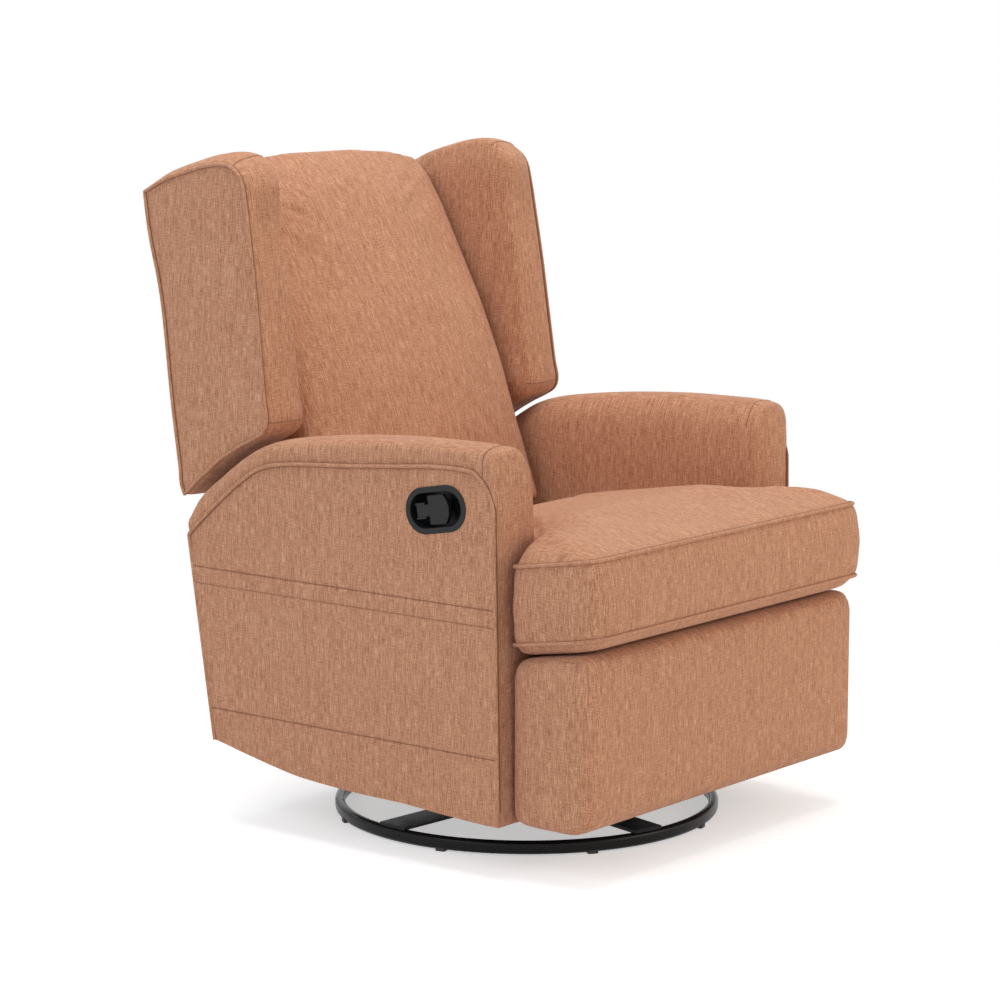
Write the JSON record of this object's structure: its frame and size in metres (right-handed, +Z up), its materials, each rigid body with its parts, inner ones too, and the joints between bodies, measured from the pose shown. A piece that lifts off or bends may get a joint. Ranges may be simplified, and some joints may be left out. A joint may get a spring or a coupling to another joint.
{
  "type": "swivel glider recliner",
  "caption": "Upholstered wing armchair that swivels on a ring base, glides on swinging links, reclines its back and folds out a footrest by a side paddle.",
  "frame": {"origin": "on the floor under the middle of the chair's outline seen from above, chair facing straight ahead, back upright, footrest folded", "axes": "+Z up, -Y the way the sitter faces, +X to the sitter's left; the swivel axis stands 42.5 mm in front of the origin"},
  "size_m": [0.7635, 0.9049, 1.05],
  "materials": {
    "base_paint": "gloss black powder coat",
    "glide_plastic": "moulded nylon, matt",
    "bearing_steel": "zinc plated, lightly greased",
    "ball_steel": "polished",
    "zinc_hardware": "bright zinc plated",
    "mechanism_paint": "satin black electro-coat",
    "frame_wood": "sawn hardwood, bare",
    "spring_steel": "oil tempered wire",
    "deck_felt": "grey needled felt",
    "webbing": "woven elastic strap",
    "upholstery": "woven linen look, heathered, welted seams",
    "handle_plastic": "satin black moulded",
    "cable_sheath": "extruded sheath, satin"
  },
  "bodies": {
    "floor_base": {"base_ring": "base_paint", "base_bar_lower": "base_paint", "base_bar_upper": "base_paint", "base_glides": "glide_plastic", "swivel_lower_race": "bearing_steel", "swivel_balls": "ball_steel", "swivel_bolt": "zinc_hardware", "swivel_nut": "zinc_hardware"},
    "turntable": {"swivel_upper_race": "bearing_steel", "turntable_bars": "mechanism_paint", "turntable_uprights": "mechanism_paint", "glide_top_bolts": "zinc_hardware"},
    "front_links": {"glide_links_front": "mechanism_paint"},
    "rear_links": {"glide_links_rear": "mechanism_paint"},
    "chair_body": {"glide_rails": "mechanism_paint", "rail_risers": "mechanism_paint", "glide_bottom_bolts": "zinc_hardware", "carriage_tubes": "mechanism_paint", "seat_side_rails": "frame_wood", "inner_plate_bolts": "zinc_hardware", "seat_front_rail": "frame_wood", "seat_rear_rail": "frame_wood", "seat_springs": "spring_steel", "seat_deck_pad": "deck_felt", "seat_cushion": "upholstery", "mechanism_outer_plates": "mechanism_paint", "mechanism_inner_plates": "mechanism_paint", "plate_pivot_pins": "zinc_hardware", "arm_left": "upholstery", "arm_right": "upholstery", "arm_boards": "frame_wood", "arm_bolts": "zinc_hardware", "release_cup": "handle_plastic", "release_pins": "zinc_hardware", "release_cable": "cable_sheath", "rear_apron": "upholstery"},
    "backrest": {"back_brackets": "mechanism_paint", "back_bolts": "zinc_hardware", "outside_back": "upholstery", "back_posts": "frame_wood", "back_rails": "frame_wood", "back_webbing": "webbing", "back_cushion": "upholstery", "wing_left": "upholstery", "wing_right": "upholstery", "wing_boards": "frame_wood"},
    "drive_links": {"ottoman_drive_links": "mechanism_paint"},
    "long_links": {"ottoman_long_links": "mechanism_paint", "long_link_pins": "zinc_hardware"},
    "offset_links": {"ottoman_offset_links": "mechanism_paint", "offset_link_pins": "zinc_hardware"},
    "control_links": {"ottoman_control_links": "mechanism_paint", "ottoman_cross_tube": "mechanism_paint", "latch_lug": "mechanism_paint"},
    "footrest": {"footrest_pad": "upholstery", "footrest_board": "frame_wood", "footrest_brackets": "mechanism_paint", "footrest_pins": "zinc_hardware"},
    "paddle": {"release_paddle": "handle_plastic"},
    "latch": {"release_latch": "mechanism_paint"}
  },
  "joints": [
    {"name": "swivel", "type": "hinge", "parent": "floor_base", "child": "turntable", "pos_m": [0, -0.0425, 0], "axis": [0, 0, 1], "continuous": true},
    {"name": "front_link_swing", "type": "hinge", "parent": "turntable", "child": "front_links", "pos_m": [0, -0.1375, 0.195], "axis": [1, 0, 0], "range_deg": [-24, 24]},
    {"name": "glide", "type": "hinge", "parent": "front_links", "child": "chair_body", "pos_m": [0, -0.1375, 0.08], "axis": [1, 0, 0], "range_deg": [-24, 24]},
    {"name": "rear_link_swing", "type": "hinge", "parent": "turntable", "child": "rear_links", "pos_m": [0, 0.0525, 0.195], "axis": [1, 0, 0], "range_deg": [-24, 24]},
    {"name": "recline", "type": "hinge", "parent": "chair_body", "child": "backrest", "pos_m": [0, 0.2075, 0.3], "axis": [-1, 0, 0], "range_deg": [0, 36]},
    {"name": "footrest_extend", "type": "hinge", "parent": "chair_body", "child": "drive_links", "pos_m": [0, -0.2625, 0.299], "axis": [-1, 0, 0], "range_deg": [0, 88]},
    {"name": "long_link_turn", "type": "hinge", "parent": "drive_links", "child": "long_links", "pos_m": [0, -0.18474, 0.11582], "axis": [-1, 0, 0], "range_deg": [-135, 0]},
    {"name": "offset_link_turn", "type": "hinge", "parent": "drive_links", "child": "offset_links", "pos_m": [0, -0.18208, 0.0709], "axis": [-1, 0, 0], "range_deg": [-135, 0]},
    {"name": "footrest_turn", "type": "hinge", "parent": "long_links", "child": "footrest", "pos_m": [0, -0.2725, 0.295], "axis": [-1, 0, 0], "range_deg": [0, 135]},
    {"name": "control_link_turn", "type": "hinge", "parent": "chair_body", "child": "control_links", "pos_m": [0, -0.2806, 0.2482], "axis": [-1, 0, 0], "range_deg": [0, 97]},
    {"name": "release_pull", "type": "hinge", "parent": "chair_body", "child": "paddle", "pos_m": [-0.3695, -0.14197, 0.53962], "axis": [0, -0.1736, -0.9848], "range_deg": [0, 35], "stiffness_Nm_per_rad": 0.6, "springref_deg": -11.46},
    {"name": "latch_release", "type": "hinge", "parent": "chair_body", "child": "latch", "pos_m": [-0.2295, -0.2075, 0.262], "axis": [1, 0, 0], "range_deg": [0, 22]}
  ],
  "couplings": [
    {"joint": "front_link_swing", "follows": "glide", "ratio": -1},
    {"joint": "rear_link_swing", "follows": "glide", "ratio": -1},
    {"joint": "long_link_turn", "follows": "footrest_extend", "ratio": -1.53},
    {"joint": "offset_link_turn", "follows": "footrest_extend", "ratio": -1.53},
    {"joint": "footrest_turn", "follows": "footrest_extend", "ratio": 1.53},
    {"joint": "control_link_turn", "follows": "footrest_extend", "ratio": 1.1},
    {"joint": "latch_release", "follows": "release_pull", "ratio": 0.62857}
  ]
}
